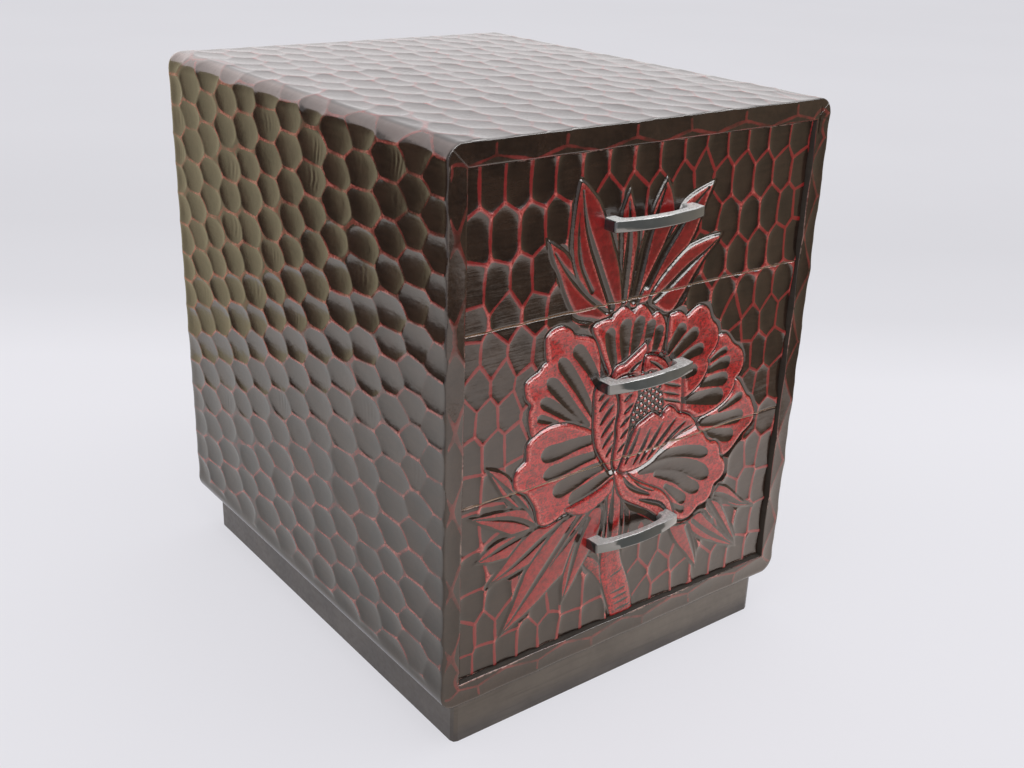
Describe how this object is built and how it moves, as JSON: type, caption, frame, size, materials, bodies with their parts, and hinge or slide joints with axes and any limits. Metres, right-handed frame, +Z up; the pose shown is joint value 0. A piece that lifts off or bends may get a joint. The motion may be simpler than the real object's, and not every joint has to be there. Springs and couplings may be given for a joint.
{
  "type": "chest of drawers",
  "caption": "Small carved lacquer chest on a plinth, with drawers that slide out of the front, each with a bow handle; it stores small things on a table or shelf.",
  "frame": {"origin": "on the floor, under the middle of the whole chest with its handles", "axes": "+Z up, drawers open towards -Y, +X to the right when looking at the front"},
  "size_m": [0.21, 0.2568, 0.269],
  "materials": {
    "carved_lacquer": "carved wood, dark brown lacquer over red, gloss on the gouge marks, red rubbed through on every ridge",
    "plain_lacquer": "dark brown lacquer, semi gloss",
    "bare_wood": "bare planed wood",
    "black_handle": "gloss black",
    "screw_steel": "plain steel, satin"
  },
  "bodies": {
    "case": {"top_panel": "carved_lacquer", "left_side_panel": "carved_lacquer", "right_side_panel": "carved_lacquer", "bottom_panel": "plain_lacquer", "back_panel": "plain_lacquer", "plinth_front": "plain_lacquer", "plinth_back": "plain_lacquer", "plinth_left": "plain_lacquer", "plinth_right": "plain_lacquer", "upper_drawer_shelf": "bare_wood", "lower_drawer_shelf": "bare_wood"},
    "top_drawer": {"top_drawer_front": "carved_lacquer", "top_drawer_left_side": "bare_wood", "top_drawer_right_side": "bare_wood", "top_drawer_back": "bare_wood", "top_drawer_bottom": "bare_wood", "top_drawer_handle": "black_handle", "top_drawer_handle_screw_left": "screw_steel", "top_drawer_handle_screw_right": "screw_steel"},
    "middle_drawer": {"middle_drawer_front": "carved_lacquer", "middle_drawer_left_side": "bare_wood", "middle_drawer_right_side": "bare_wood", "middle_drawer_back": "bare_wood", "middle_drawer_bottom": "bare_wood", "middle_drawer_handle": "black_handle", "middle_drawer_handle_screw_left": "screw_steel", "middle_drawer_handle_screw_right": "screw_steel"},
    "bottom_drawer": {"bottom_drawer_front": "carved_lacquer", "bottom_drawer_left_side": "bare_wood", "bottom_drawer_right_side": "bare_wood", "bottom_drawer_back": "bare_wood", "bottom_drawer_bottom": "bare_wood", "bottom_drawer_handle": "black_handle", "bottom_drawer_handle_screw_left": "screw_steel", "bottom_drawer_handle_screw_right": "screw_steel"}
  },
  "joints": [
    {"name": "top_drawer_slide", "type": "slide", "parent": "case", "child": "top_drawer", "axis": [0, -1, 0], "range_m": [0, 0.19]},
    {"name": "middle_drawer_slide", "type": "slide", "parent": "case", "child": "middle_drawer", "axis": [0, -1, 0], "range_m": [0, 0.19]},
    {"name": "bottom_drawer_slide", "type": "slide", "parent": "case", "child": "bottom_drawer", "axis": [0, -1, 0], "range_m": [0, 0.19]}
  ]
}
